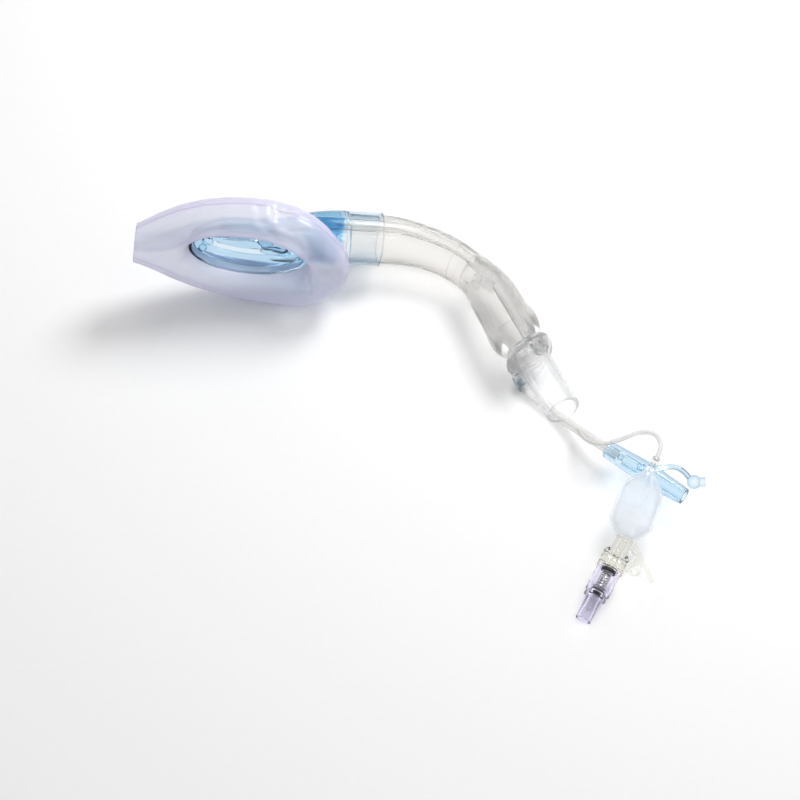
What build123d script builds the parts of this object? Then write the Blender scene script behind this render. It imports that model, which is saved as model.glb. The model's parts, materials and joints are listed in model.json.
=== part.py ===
import os
from math import cos, radians, sin, tan

from build123d import *

# A laryngeal mask airway with an inflatable cuff and a gastric drain, lying on its side.
# Lengths are in millimetres, +Z is up and the table is Z = 0.
# The plane of symmetry of the mask and tube leans a little, as the airway comes to rest on
# the cuff's lower edge, the underside of the bend and the side-tube ferrule.
os.makedirs("parts", exist_ok=True)

# Where the plane of symmetry lies
LIE_ORIGIN = (-47.90, 25.42, 28.9)
LIE_X = (0.9872, -0.0179, -0.1585)
LIE_Z = (0.1595, 0.1106, 0.9810)
lie = Plane(origin=LIE_ORIGIN, x_dir=LIE_X, z_dir=LIE_Z)


def at(u, v, w=0.0):
    """Point in the row frame: u towards the heel, v towards the back, w to one side."""
    return lie.from_local_coords(Vector(u, v, w))


def way(u, v, w=0.0):
    """Direction in the row frame of a direction in the plane of symmetry."""
    return at(u, v, w) - at(0, 0, 0)


def across(u, v, angle, w=0.0):
    """Plane square to the airway; its X points to the outside of the curve, its Y is w."""
    c = cos(radians(angle))
    s = sin(radians(angle))
    return Plane(origin=at(u, v, w), x_dir=way(-s, c), z_dir=way(c, s))


# Cuff: station along the mask, middle of its thickness, half width, half thickness
CUFF = [
    (-48.0, -3.4, 8.5, 8.5),
    (-44.0, -2.2, 10.8, 8.8),
    (-38.0, -0.7, 14.4, 9.1),
    (-30.0, 0.4, 18.9, 9.4),
    (-20.0, 0.95, 23.0, 9.6),
    (-10.0, 1.1, 25.6, 9.8),
    (0.0, 0.95, 26.9, 10.0),
    (10.0, 0.6, 27.2, 10.2),
    (20.0, -0.8, 26.2, 10.5),
    (28.0, -2.6, 23.7, 10.7),
    (34.0, -3.4, 19.6, 10.5),
    (39.0, -3.9, 14.6, 9.7),
    (42.5, -4.1, 10.0, 8.0),
    (44.6, -4.2, 6.0, 5.5),
    (45.6, -4.2, 3.0, 2.9),
]
# Opening through the cuff: place in the thickness, half length, half width
OPENING = [
    (-14.0, 33.0, 19.5),
    (-11.0, 30.6, 17.6),
    (-7.5, 28.0, 14.6),
    (-4.0, 26.7, 13.0),
    (0.0, 26.4, 12.6),
    (4.0, 26.7, 12.8),
    (8.0, 27.4, 13.4),
    (14.0, 28.6, 14.4),
]
OPENING_U = 1.5

# Neck of the backplate: u, v, direction, half depth, half width
NECK = [
    (60.2, 17.75, 5.0, 11.25, 12.4),
    (52.0, 16.8, 6.5, 11.4, 12.55),
    (44.5, 15.9, 7.0, 11.6, 12.8),
    (34.0, 14.2, 11.0, 11.2, 12.8),
    (24.0, 11.6, 16.0, 9.4, 12.4),
    (14.0, 8.4, 19.0, 6.4, 11.2),
    (5.0, 5.2, 19.0, 3.4, 9.0),
]
# Airway tube: u, v, direction, half depth, half width
TUBE = [
    (45.5, 16.0, 6.5, 10.3, 11.4),
    (52.0, 16.8, 6.5, 10.3, 11.4),
    (61.5, 17.8, 3.5, 10.3, 11.4),
    (70.1, 17.9, -4.7, 9.6, 11.2),
    (78.6, 16.4, -14.0, 8.7, 10.8),
    (86.8, 13.6, -24.0, 8.1, 10.6),
    (94.5, 9.3, -36.0, 7.45, 10.5),
    (101.0, 3.6, -46.0, 7.2, 10.5),
    (105.9, -2.2, -54.0, 8.2, 11.5),
    (109.9, -8.6, -61.5, 9.7, 12.2),
    (113.2, -15.6, -66.5, 10.4, 12.1),
    (116.7, -24.0, -67.0, 10.8, 12.4),
    (121.0, -34.2, -66.5, 10.8, 12.8),
    (125.6, -44.6, -66.0, 10.4, 13.2),
]
TUBE_WALL = 1.2
INSERT_FROM = 7


def airway_lumen(a, b):
    """Half depth, half width and offset of the breathing channel in a section a by b."""
    return a - 2.0, 0.60 * b, -0.26 * b


def drain_lumen(b):
    """Radius and offset of the gastric channel in a section of half width b."""
    return 0.215 * b, 0.64 * b


# Path of the gastric drain: u, v, w from the tip to the neck
DRAIN = [
    (-50.0, -3.85, 0.0),
    (-38.0, -1.6, 0.0),
    (-30.0, 3.0, 0.0),
    (-22.0, 9.4, 0.0),
    (-12.0, 12.4, 0.0),
    (2.0, 13.2, 0.4),
    (16.0, 14.6, 1.8),
    (30.0, 16.8, 4.6),
    (44.0, 16.6, 7.1),
    (53.0, 17.0, 7.4),
]
DRAIN_R = 4.0
DRAIN_BORE_R = 3.2
CHANNEL_R = 2.6


def drain_plane(i):
    """Plane square to the drain's path at its point number i."""
    before = Vector(*DRAIN[max(i - 1, 0)])
    after = Vector(*DRAIN[min(i + 1, len(DRAIN) - 1)])
    d = after - before
    return Plane(origin=at(*DRAIN[i]), x_dir=way(-d.Y, d.X, 0), z_dir=way(d.X, d.Y, d.Z))


# Air space of the cuff: the cuff's outside drawn in by its wall
CUFF_WALL = 1.4
with BuildPart() as air_space:
    for u, v, half_width, half_depth in CUFF[1:14]:
        with BuildSketch(Plane(origin=at(u, v), x_dir=way(0, 1), z_dir=way(1, 0))):
            a = half_depth - CUFF_WALL
            b = half_width - CUFF_WALL
            RectangleRounded(2 * a, 2 * b, 0.97 * min(a, b))
    loft()
    for v, half_length, half_width in OPENING:
        with BuildSketch(Plane(origin=at(OPENING_U, v), x_dir=way(1, 0), z_dir=way(0, 1))):
            Ellipse(half_length + CUFF_WALL, half_width + CUFF_WALL)
    loft(mode=Mode.SUBTRACT)
    for u, v, angle, a, b in NECK:
        with BuildSketch(across(u, v, angle)):
            Ellipse(a + CUFF_WALL, b + CUFF_WALL)
    loft(mode=Mode.SUBTRACT)
    for i in range(0, 7):
        with BuildSketch(drain_plane(i)):
            Circle(DRAIN_R + CUFF_WALL)
    loft(mode=Mode.SUBTRACT)

# Inflatable cuff
with BuildPart() as cuff:
    for u, v, half_width, half_depth in CUFF:
        with BuildSketch(Plane(origin=at(u, v), x_dir=way(0, 1), z_dir=way(1, 0))):
            RectangleRounded(2 * half_depth, 2 * half_width, 0.97 * min(half_depth, half_width))
    loft()
    for v, half_length, half_width in OPENING:
        with BuildSketch(Plane(origin=at(OPENING_U, v), x_dir=way(1, 0), z_dir=way(0, 1))):
            Ellipse(half_length, half_width)
    loft(mode=Mode.SUBTRACT)
    # seat of the neck in the back of the heel
    for u, v, angle, a, b in NECK:
        with BuildSketch(across(u, v, angle)):
            Ellipse(a + 0.05, b + 0.05)
    loft(mode=Mode.SUBTRACT)
    # channel of the gastric drain through the tip
    for i in range(0, 7):
        with BuildSketch(drain_plane(i)):
            Circle(DRAIN_R + 0.05)
    loft(mode=Mode.SUBTRACT)
    add(air_space.part, mode=Mode.SUBTRACT)
cuff.part.label = "cuff"
export_step(cuff.part, "parts/cuff.step")


# Backplate: bowl with its rim in the cuff, fin, neck and socket for the airway tube
with BuildPart() as backplate:
    # outside of the bowl
    for v, half_length, half_width in [
        (-1.5, 26.2, 12.35),
        (0.0, 26.2, 12.35),
        (4.0, 26.2, 12.4),
        (8.0, 24.6, 11.6),
        (11.0, 20.5, 9.4),
        (12.2, 15.5, 6.4),
    ]:
        with BuildSketch(Plane(origin=at(OPENING_U, v), x_dir=way(1, 0), z_dir=way(0, 1))):
            Ellipse(half_length, half_width)
    loft()
    # outside of the neck
    for u, v, angle, a, b in NECK:
        with BuildSketch(across(u, v, angle)):
            Ellipse(a, b)
    loft()
    # sheath of the gastric drain on the back
    for i in range(4, 8):
        with BuildSketch(drain_plane(i)):
            Circle(DRAIN_R + 1.3)
    loft()
    # inside of the bowl
    for v, half_length, half_width in [
        (-2.0, 24.9, 11.1),
        (0.0, 24.9, 11.1),
        (4.0, 24.4, 10.9),
        (7.0, 22.6, 9.8),
        (9.6, 18.6, 7.4),
        (10.4, 14.6, 5.2),
    ]:
        with BuildSketch(Plane(origin=at(OPENING_U, v), x_dir=way(1, 0), z_dir=way(0, 1))):
            Ellipse(half_length, half_width)
    loft(mode=Mode.SUBTRACT)
    # breathing channel from the tube's end into the bowl
    for u, v, angle, a, b, w in [
        (46.0, 16.1, 6.5, 8.3, 6.85, -2.95),
        (36.0, 14.2, 11.0, 8.0, 7.3, -2.4),
        (27.0, 11.4, 18.0, 6.8, 7.6, -1.2),
        (18.0, 7.4, 28.0, 5.4, 7.6, -0.4),
        (8.0, 1.0, 34.0, 4.6, 7.4, 0.0),
    ]:
        with BuildSketch(across(u, v, angle, w)):
            Ellipse(a, b)
    loft(mode=Mode.SUBTRACT)
    # socket of the airway tube
    for u, v, angle, a, b in TUBE:
        with BuildSketch(across(u, v, angle)):
            Ellipse(a + 0.05, b + 0.05)
    loft(mode=Mode.SUBTRACT)
    # fin that keeps the airway clear
    with BuildSketch(Plane(origin=at(0, 0, -0.7), x_dir=way(1, 0), z_dir=way(0, 0, 1))):
        with BuildLine():
            Polyline((2.0, 11.2), (8.0, 2.6), (16.5, 1.2), (19.0, 3.0), (13.0, 11.2), close=True)
        make_face()
    extrude(amount=1.4)
    # seat of the drain tube and the channel beyond it
    for i in range(0, 7):
        with BuildSketch(drain_plane(i)):
            Circle(DRAIN_R + 0.05)
    loft(mode=Mode.SUBTRACT)
    for i in range(6, 10):
        with BuildSketch(drain_plane(i)):
            Circle(CHANNEL_R)
    loft(mode=Mode.SUBTRACT)
backplate.part.label = "backplate"
export_step(backplate.part, "parts/backplate.step")

# Gastric drain: the tube between the tip and the backplate
with BuildPart() as drain_tube:
    for i in range(0, 7):
        with BuildSketch(drain_plane(i)):
            Circle(DRAIN_R)
    loft()
    for i in range(0, 7):
        with BuildSketch(drain_plane(i)):
            Circle(DRAIN_BORE_R)
    loft(mode=Mode.SUBTRACT)
    # cut flush with the tip of the cuff
    with BuildSketch(Plane(origin=at(-48.0, -3.4), x_dir=way(0, 1), z_dir=way(-1, 0))):
        Rectangle(20, 20)
    extrude(amount=6.0, mode=Mode.SUBTRACT)
drain_tube.part.label = "drain_tube"
export_step(drain_tube.part, "parts/drain_tube.step")

# Airway tube: clear flattened tube with a wide breathing channel beside the gastric channel
with BuildPart() as airway_tube:
    for u, v, angle, a, b in TUBE:
        with BuildSketch(across(u, v, angle)):
            Ellipse(a, b)
    loft()
    # breathing channel
    for u, v, angle, a, b in TUBE:
        half_depth, half_width, offset = airway_lumen(a, b)
        with BuildSketch(across(u, v, angle, offset)):
            Ellipse(half_depth, half_width)
    loft(mode=Mode.SUBTRACT)
    # gastric channel
    for u, v, angle, a, b in TUBE:
        radius, offset = drain_lumen(b)
        with BuildSketch(across(u, v, angle, offset)):
            Circle(radius)
    loft(mode=Mode.SUBTRACT)
    # pocket of the bite block
    for u, v, angle, a, b in TUBE[INSERT_FROM:]:
        with BuildSketch(across(u, v, angle)):
            Ellipse(a - TUBE_WALL, b - TUBE_WALL)
    loft(mode=Mode.SUBTRACT)
airway_tube.part.label = "airway_tube"
export_step(airway_tube.part, "parts/airway_tube.step")

# Connector axis: middle of the mouth, direction, offset to one side
MOUTH_U = 139.74
MOUTH_V = -73.33
MOUTH_ANGLE = -66.0
CONNECTOR_W = -2.0
CONNECTOR_LENGTH = 29.0
SPIGOT_LENGTH = 20.0
SPIGOT_R = 6.4
BORE_R = 6.2
PLATE = (126.85, -46.8, -66.0, 9.7, 14.1)
PLATE_THICK = 2.4


def on_axis(back, side=0.0, w=0.0):
    """Plane on the connector's axis, back from the mouth, looking out of the mouth."""
    c = cos(radians(MOUTH_ANGLE))
    s = sin(radians(MOUTH_ANGLE))
    u = MOUTH_U - back * c - side * s
    v = MOUTH_V - back * s + side * c
    return across(u, v, MOUTH_ANGLE, CONNECTOR_W + w)


# Bite block: clear rigid insert in the proximal end of the tube, slotted at its deep end
with BuildPart() as bite_block:
    for u, v, angle, a, b in TUBE[INSERT_FROM:]:
        with BuildSketch(across(u, v, angle)):
            Ellipse(a - TUBE_WALL - 0.05, b - TUBE_WALL - 0.05)
    loft()
    for u, v, angle, a, b in TUBE[INSERT_FROM:]:
        half_depth, half_width, offset = airway_lumen(a, b)
        with BuildSketch(across(u, v, angle, offset)):
            Ellipse(half_depth, half_width)
    loft(mode=Mode.SUBTRACT)
    for u, v, angle, a, b in TUBE[INSERT_FROM:]:
        radius, offset = drain_lumen(b)
        with BuildSketch(across(u, v, angle, offset)):
            Circle(radius)
    loft(mode=Mode.SUBTRACT)
    # seat of the connector's spigot
    with BuildSketch(on_axis(CONNECTOR_LENGTH + SPIGOT_LENGTH + 0.3)):
        Circle(SPIGOT_R + 0.05)
    extrude(amount=SPIGOT_LENGTH + 6.0, mode=Mode.SUBTRACT)
    # tapered slots that let the deep end bend
    for base_u, base_v, tip_u, tip_v, width in [
        (98.8, 1.6, 110.2, -13.5, 2.6),
        (96.8, -0.6, 104.6, -9.6, 1.8),
    ]:
        slot = Vector(tip_u - base_u, tip_v - base_v, 0)
        with BuildSketch(Plane(origin=at(base_u, base_v, 0), x_dir=way(slot.X, slot.Y), z_dir=way(0, 0, 1))):
            with BuildLine():
                Polyline(
                    (-3.0, -width),
                    (slot.length, -0.35),
                    (slot.length, 0.35),
                    (-3.0, width),
                    close=True,
                )
            make_face()
        extrude(amount=14.0, mode=Mode.SUBTRACT)
bite_block.part.label = "bite_block"
export_step(bite_block.part, "parts/bite_block.step")

# Gastric port and side-tube seat: side step from the connector's axis, offset, radius
PORT_SIDE = -0.2
PORT_W = 11.15
PORT_R = 3.3
PORT_BORE_R = 2.5
SEAT_SIDE = -4.2
SEAT_W = -10.1
SIDE_TUBE_R = 2.1

# Connector: 15 mm taper, end plate with a raised rim, gastric port and inner spigot
with BuildPart() as connector:
    with BuildSketch(across(*PLATE[:3])):
        Ellipse(PLATE[3], PLATE[4])
    extrude(amount=-PLATE_THICK)
    with BuildSketch(across(*PLATE[:3])):
        Ellipse(PLATE[3] - 0.9, PLATE[4] - 0.9)
    extrude(amount=-(PLATE_THICK - 1.1), mode=Mode.SUBTRACT)
    # outside of the taper
    with BuildSketch(on_axis(CONNECTOR_LENGTH + 1.4)):
        Circle(8.0)
    with BuildSketch(on_axis(0.35)):
        Circle(7.66)
    loft()
    with BuildSketch(on_axis(0.35)):
        Circle(7.66)
    with BuildSketch(on_axis(0.0)):
        Circle(7.5)
    loft()
    with BuildSketch(on_axis(CONNECTOR_LENGTH + SPIGOT_LENGTH)):
        Circle(SPIGOT_R)
    extrude(amount=SPIGOT_LENGTH)
    # gastric port
    with BuildSketch(on_axis(CONNECTOR_LENGTH + 1.6, PORT_SIDE, PORT_W)):
        Circle(PORT_R)
    extrude(amount=5.0)
    # boss behind the side tube's seat
    with BuildSketch(on_axis(CONNECTOR_LENGTH + 1.6, SEAT_SIDE, SEAT_W)):
        Circle(2.75)
    extrude(amount=1.6)
    # pillar beside the port
    with BuildSketch(on_axis(CONNECTOR_LENGTH + 1.6, -6.4, 6.4)):
        Circle(1.5)
    extrude(amount=2.6)
    # seat of the side tube
    with BuildSketch(on_axis(CONNECTOR_LENGTH + 1.0, SEAT_SIDE, SEAT_W)):
        Circle(SIDE_TUBE_R + 0.02)
    extrude(amount=2.0, mode=Mode.SUBTRACT)
    # bore, port bore and the hole behind it
    with BuildSketch(on_axis(CONNECTOR_LENGTH + SPIGOT_LENGTH + 1.0)):
        Circle(BORE_R - 0.7)
    extrude(amount=CONNECTOR_LENGTH + SPIGOT_LENGTH + 2.0, mode=Mode.SUBTRACT)
    with BuildSketch(on_axis(CONNECTOR_LENGTH)):
        Circle(BORE_R)
    extrude(amount=CONNECTOR_LENGTH + 1.0, mode=Mode.SUBTRACT)
    with BuildSketch(on_axis(CONNECTOR_LENGTH + 6.0, PORT_SIDE, PORT_W)):
        Circle(PORT_BORE_R)
    extrude(amount=12.0, mode=Mode.SUBTRACT)
connector.part.label = "connector"
export_step(connector.part, "parts/connector.step")

# Ferrule that holds the side tube against the end plate
FERRULE_LENGTH = 4.6
with BuildPart() as side_ferrule:
    with BuildSketch(on_axis(CONNECTOR_LENGTH - 0.05, SEAT_SIDE, SEAT_W)):
        Circle(2.75)
    extrude(amount=FERRULE_LENGTH)
    with BuildSketch(on_axis(CONNECTOR_LENGTH + 1.0, SEAT_SIDE, SEAT_W)):
        Circle(SIDE_TUBE_R + 0.02)
    extrude(amount=FERRULE_LENGTH + 2.0, mode=Mode.SUBTRACT)
side_ferrule.part.label = "side_ferrule"
export_step(side_ferrule.part, "parts/side_ferrule.step")


def turned(start, end):
    """Plane holding the line from start to end: X along it, Y level and square to it."""
    d = (Vector(*end) - Vector(*start)).normalized()
    level = Vector(0, 0, 1).cross(d).normalized()
    return Plane(origin=start, x_dir=d, z_dir=d.cross(level))


def cord_radii(points):
    """Arc radius at each corner of a cord: 0.45 of the shorter run over tan of the half turn."""
    radii = []
    for a, b, c in zip(points, points[1:], points[2:]):
        before = Vector(*b) - Vector(*a)
        after = Vector(*c) - Vector(*b)
        half = radians(before.get_angle(after)) / 2
        radii.append(round(0.45 * min(before.length, after.length) / tan(half), 2))
    return radii


# Side tube: from the ferrule, under the connector, to the drain fitting
seat_plane = on_axis(CONNECTOR_LENGTH, SEAT_SIDE, SEAT_W)
FITTING_FROM = (107.75, -67.35, 8.7)
FITTING_TO = (137.68, -91.69, 9.3)
fitting_plane = turned(FITTING_FROM, FITTING_TO)
SIDE_TUBE = [
    tuple(seat_plane.from_local_coords((0, 0, 1.0))),
    tuple(seat_plane.from_local_coords((0, 0, 6.6))),
    (80.5, -37.5, 2.4),
    (89.1, -46.48, 2.55),
    (95.1, -53.58, 4.8),
    (100.5, -60.38, 7.7),
    tuple(fitting_plane.from_local_coords((-4.8, 0, 0))),
    tuple(fitting_plane.from_local_coords((5.95, 0, 0))),
]
side_radii = cord_radii(SIDE_TUBE)
print("side tube radii", side_radii)
# Inflation line: from the side tube's small channel to the ferrule of the pilot balloon
LINE_FERRULE_FROM = (126.49, -78.45, 17.7)
LINE_FERRULE_TO = (124.11, -82.78, 17.45)
ferrule_plane = turned(LINE_FERRULE_FROM, LINE_FERRULE_TO)
INFLATION_LINE = [
    (96.4, -55.23, 5.5),
    (97.15, -62.42, 10.16),
    (102.33, -68.79, 13.46),
    (109.19, -67.91, 14.34),
    (115.5, -65.68, 15),
    (120.42, -63.6, 15.66),
    (126.92, -65.02, 17.35),
    (129.24, -71.43, 18.15),
    tuple(ferrule_plane.from_local_coords((-2.2, 0, 0))),
    tuple(ferrule_plane.from_local_coords((0.95, 0, 0))),
]
LINE_R = 0.95
with BuildPart() as side_tube:
    with BuildLine():
        side_route = FilletPolyline(*SIDE_TUBE, radius=side_radii)
    with BuildSketch(Plane(origin=SIDE_TUBE[0], z_dir=side_route % 0)):
        Circle(SIDE_TUBE_R)
        Circle(1.3, mode=Mode.SUBTRACT)
    sweep()
    # hole where the inflation line comes out
    outlet = Vector(*INFLATION_LINE[1]) - Vector(*INFLATION_LINE[0])
    with BuildSketch(Plane(origin=INFLATION_LINE[0], z_dir=outlet)):
        Circle(LINE_R + 0.03)
    extrude(amount=7.5, mode=Mode.SUBTRACT)
side_tube.part.label = "side_tube"
export_step(side_tube.part, "parts/side_tube.step")
print("side tube length", round(side_route.length, 2))

# Drain fitting: tapered barrel with a seat for the side tube and an open bore
fitting_axis = Axis(FITTING_FROM, fitting_plane.x_dir)
with BuildPart() as drain_fitting:
    with BuildSketch(fitting_plane):
        with BuildLine():
            Polyline(
                (0.0, SIDE_TUBE_R + 0.02),
                (0.0, 3.6),
                (0.8, 3.8),
                (21.5, 4.8),
                (24.0, 4.5),
                (36.5, 3.7),
                (38.6, 3.4),
                (38.6, 2.3),
                (9.0, 2.3),
                (7.6, 1.3),
                (6.0, 1.3),
                (6.0, SIDE_TUBE_R + 0.02),
                close=True,
            )
        make_face()
    revolve(axis=fitting_axis)
    # eye that holds the strap
    with BuildSketch(fitting_plane.offset(3.2)):
        with Locations((18.0, -2.4)):
            Circle(1.5)
    extrude(amount=1.9)
drain_fitting.part.label = "drain_fitting"
export_step(drain_fitting.part, "parts/drain_fitting.step")

# Plug on its strap
STRAP = [
    (120.24, -80.58, 14.7),
    (125.1, -81.58, 14.6),
    (132.1, -79.58, 13.2),
    (140.5, -83.13, 10.2),
]
with BuildPart() as plug_strap:
    with BuildLine():
        strap_route = Spline(*STRAP)
    with BuildSketch(Plane(origin=STRAP[0], x_dir=(0, 0, 1), z_dir=strap_route % 0)):
        Rectangle(1.0, 2.2)
    sweep()
    with BuildSketch(Plane(origin=(120.24, -80.58, 14.2), z_dir=(0, 0, 1))):
        Circle(1.7)
    extrude(amount=1.0)
    with Locations((142.40, -84.68, 9.6)):
        Sphere(2.9)
    with BuildSketch(Plane(origin=(143.10, -84.68, 9.6), z_dir=(1, 0, 0))):
        Circle(1.9)
    extrude(amount=3.9)
plug_strap.part.label = "plug_strap"
export_step(plug_strap.part, "parts/plug_strap.step")

# Inflation line: out of the side tube, over the fitting, round to the pilot balloon
line_radii = cord_radii(INFLATION_LINE)
print("inflation line radii", line_radii)
with BuildPart() as inflation_line:
    with BuildLine():
        line_route = FilletPolyline(*INFLATION_LINE, radius=line_radii)
    with BuildSketch(Plane(origin=INFLATION_LINE[0], z_dir=line_route % 0)):
        Circle(LINE_R)
    sweep()
inflation_line.part.label = "inflation_line"
export_step(inflation_line.part, "parts/inflation_line.step")
print("inflation line length", round(line_route.length, 2))

# Ferrule between the inflation line and the pilot balloon
with BuildPart() as line_ferrule:
    with BuildSketch(ferrule_plane):
        with BuildLine():
            Polyline(
                (0.0, LINE_R + 0.02),
                (0.0, 1.6),
                (4.2, 1.75),
                (5.5, 1.5),
                (5.5, 0.5),
                (1.0, 0.5),
                (1.0, LINE_R + 0.02),
                close=True,
            )
        make_face()
    revolve(axis=Axis(LINE_FERRULE_FROM, ferrule_plane.x_dir))
line_ferrule.part.label = "line_ferrule"
export_step(line_ferrule.part, "parts/line_ferrule.step")

# Pilot balloon: two welded films with a pillow of air
BALLOON_FROM = (123.65, -83.48, 17.4)
BALLOON_TO = (111.82, -112.74, 9.7)
balloon_plane = turned(BALLOON_FROM, BALLOON_TO)


def balloon_outline(inset):
    """Outline of the balloon, drawn in from its edge."""
    Polyline(
        (0.6 * inset, -1.9 + 0.4 * inset),
        (9.2, -7.9 + inset),
        (25.4, -8.2 + inset),
        (32.2 - 1.4 * inset, -3.7 + 0.5 * inset),
        (32.2 - 1.4 * inset, 3.7 - 0.5 * inset),
        (25.4, 8.2 - inset),
        (9.2, 7.9 - inset),
        (0.6 * inset, 1.9 - 0.4 * inset),
        close=True,
    )


with BuildPart() as pilot_balloon:
    with BuildSketch(balloon_plane):
        with BuildLine():
            balloon_outline(0.0)
        make_face()
    extrude(amount=0.35, both=True)
    for side in (1, -1):
        for inset, height in ((1.4, 0.0), (2.6, 1.7), (4.4, 2.4)):
            with BuildSketch(balloon_plane.offset(side * height)):
                with BuildLine():
                    balloon_outline(inset)
                make_face()
        loft()
    for side in (1, -1):
        for inset, height in ((1.9, 0.0), (3.0, 1.35), (4.7, 2.05)):
            with BuildSketch(balloon_plane.offset(side * height)):
                with BuildLine():
                    balloon_outline(inset)
                make_face()
        loft(mode=Mode.SUBTRACT)
pilot_balloon.part.label = "pilot_balloon"
export_step(pilot_balloon.part, "parts/pilot_balloon.step")

# Check valve and its holder: one axis from the balloon's neck to the luer mouth
VALVE_FROM = (111.82, -112.74, 9.7)
VALVE_TO = (93.33, -146.43, 3.35)
valve_plane = turned(VALVE_FROM, VALVE_TO)
valve_axis = Axis(VALVE_FROM, valve_plane.x_dir)
VALVE_END = 39.0

# Holder: sleeve welded into the balloon's neck and ribbed collar round the valve
with BuildPart() as valve_holder:
    with BuildSketch(valve_plane):
        with BuildLine():
            Polyline(
                (0.1, 1.6),
                (0.1, 3.5),
                (7.0, 3.6),
                (7.4, 5.3),
                (8.4, 5.5),
                (8.8, 5.2),
                (9.8, 5.2),
                (10.2, 5.5),
                (11.2, 5.5),
                (11.6, 5.2),
                (12.6, 5.2),
                (13.0, 5.5),
                (15.0, 5.5),
                (15.0, 1.6),
                close=True,
            )
        make_face()
    revolve(axis=valve_axis)
valve_holder.part.label = "valve_holder"
export_step(valve_holder.part, "parts/valve_holder.step")

# Release clip: lever, web and finger ring beside the collar
CLIP_THICK = 1.7
with BuildPart() as release_clip:
    with BuildSketch(valve_plane.offset(-CLIP_THICK / 2)):
        with BuildLine():
            Polyline(
                (0.6, 3.62),
                (4.2, 3.62),
                (5.8, 7.4),
                (9.6, 5.6),
                (12.6, 5.56),
                (12.2, 8.2),
                (9.0, 10.8),
                (6.9, 10.6),
                (12.6, 17.0),
                (11.4, 18.0),
                (0.0, 4.9),
                close=True,
            )
        make_face()
        with Locations((10.3, 9.0)):
            Circle(2.7)
            Circle(1.5, mode=Mode.SUBTRACT)
        with BuildLine():
            Polyline((2.6, 5.2), (3.8, 4.9), (4.8, 7.6), close=True)
        make_face(mode=Mode.SUBTRACT)
    extrude(amount=CLIP_THICK)
release_clip.part.label = "release_clip"
export_step(release_clip.part, "parts/release_clip.step")

# Valve body: barrel, seat, lugs and luer socket
with BuildPart() as valve_body:
    with BuildSketch(valve_plane):
        with BuildLine():
            Polyline(
                (15.05, 3.9),
                (15.05, 5.1),
                (26.0, 5.1),
                (26.6, 4.7),
                (28.4, 4.7),
                (28.4, 3.25),
                (VALVE_END, 3.15),
                (VALVE_END, 2.15),
                (34.9, 2.15),
                (34.9, 1.95),
                (26.4, 1.95),
                (26.4, 3.9),
                close=True,
            )
        make_face()
    revolve(axis=valve_axis)
valve_body.part.label = "valve_body"
export_step(valve_body.part, "parts/valve_body.step")

# Plunger: stem in the luer socket with a guide head
with BuildPart() as valve_plunger:
    with BuildSketch(valve_plane):
        with BuildLine():
            Polyline(
                (24.0, 0.0),
                (24.0, 2.9),
                (25.2, 2.9),
                (25.2, 1.1),
                (34.0, 0.95),
                (34.6, 0.6),
                (34.6, 0.0),
                close=True,
            )
        make_face()
    revolve(axis=valve_axis)
valve_plunger.part.label = "valve_plunger"
export_step(valve_plunger.part, "parts/valve_plunger.step")

# Seal on the plunger's head
with BuildPart() as valve_seal:
    with BuildSketch(valve_plane):
        with BuildLine():
            Polyline((25.25, 1.2), (25.25, 3.2), (26.3, 3.2), (26.3, 1.2), close=True)
        make_face()
    revolve(axis=valve_axis)
valve_seal.part.label = "valve_seal"
export_step(valve_seal.part, "parts/valve_seal.step")

# Ring the spring bears on
with BuildPart() as spring_seat:
    with BuildSketch(valve_plane):
        with BuildLine():
            Polyline((15.1, 1.3), (15.1, 3.1), (16.2, 3.1), (16.2, 1.3), close=True)
        make_face()
    revolve(axis=valve_axis)
spring_seat.part.label = "spring_seat"
export_step(spring_seat.part, "parts/spring_seat.step")

# Return spring
SPRING_FROM = 16.6
SPRING_TO = 23.6
SPRING_R = 2.0
SPRING_TURNS = 6
spring_plane = Plane(
    origin=valve_plane.from_local_coords((SPRING_FROM, 0, 0)), x_dir=valve_plane.y_dir, z_dir=valve_plane.x_dir
)
with BuildPart() as valve_spring:
    with BuildLine():
        coil = Helix(
            (SPRING_TO - SPRING_FROM) / SPRING_TURNS,
            SPRING_TO - SPRING_FROM,
            SPRING_R,
            center=spring_plane.origin,
            direction=spring_plane.z_dir,
        )
    with BuildSketch(Plane(origin=coil @ 0, z_dir=coil % 0)):
        Circle(0.32)
    sweep()
valve_spring.part.label = "valve_spring"
export_step(valve_spring.part, "parts/valve_spring.step")

for piece in (
    cuff,
    backplate,
    drain_tube,
    airway_tube,
    bite_block,
    connector,
    side_ferrule,
    side_tube,
    drain_fitting,
    plug_strap,
    inflation_line,
    line_ferrule,
    pilot_balloon,
    valve_holder,
    release_clip,
    valve_body,
    valve_plunger,
    valve_seal,
    spring_seat,
    valve_spring,
):
    b = piece.part.bounding_box()
    print(piece.part.label, round(piece.part.volume, 1), len(piece.part.solids()), "z", round(b.min.Z, 2), round(b.max.Z, 2))
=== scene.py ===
# %% [markdown]
# # A laryngeal mask airway
# The airway is a soft inflatable mask on a curved clear tube, with a hard connector,
# a bite block, a gastric drain and a thin inflation line that ends in a pilot balloon
# and a check valve. The hard and thick parts come from the CAD frame and only get
# finishes. The parts made of film, the limp lines, the return spring and the thin ledges
# and lips are modelled here.

# %% Load the frame and keep the size of the CAD model
import json
from math import cos, exp, pi, radians, sin

import bmesh
import bpy
from mathutils import Matrix, Vector, noise
from mathutils.bvhtree import BVHTree


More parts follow.
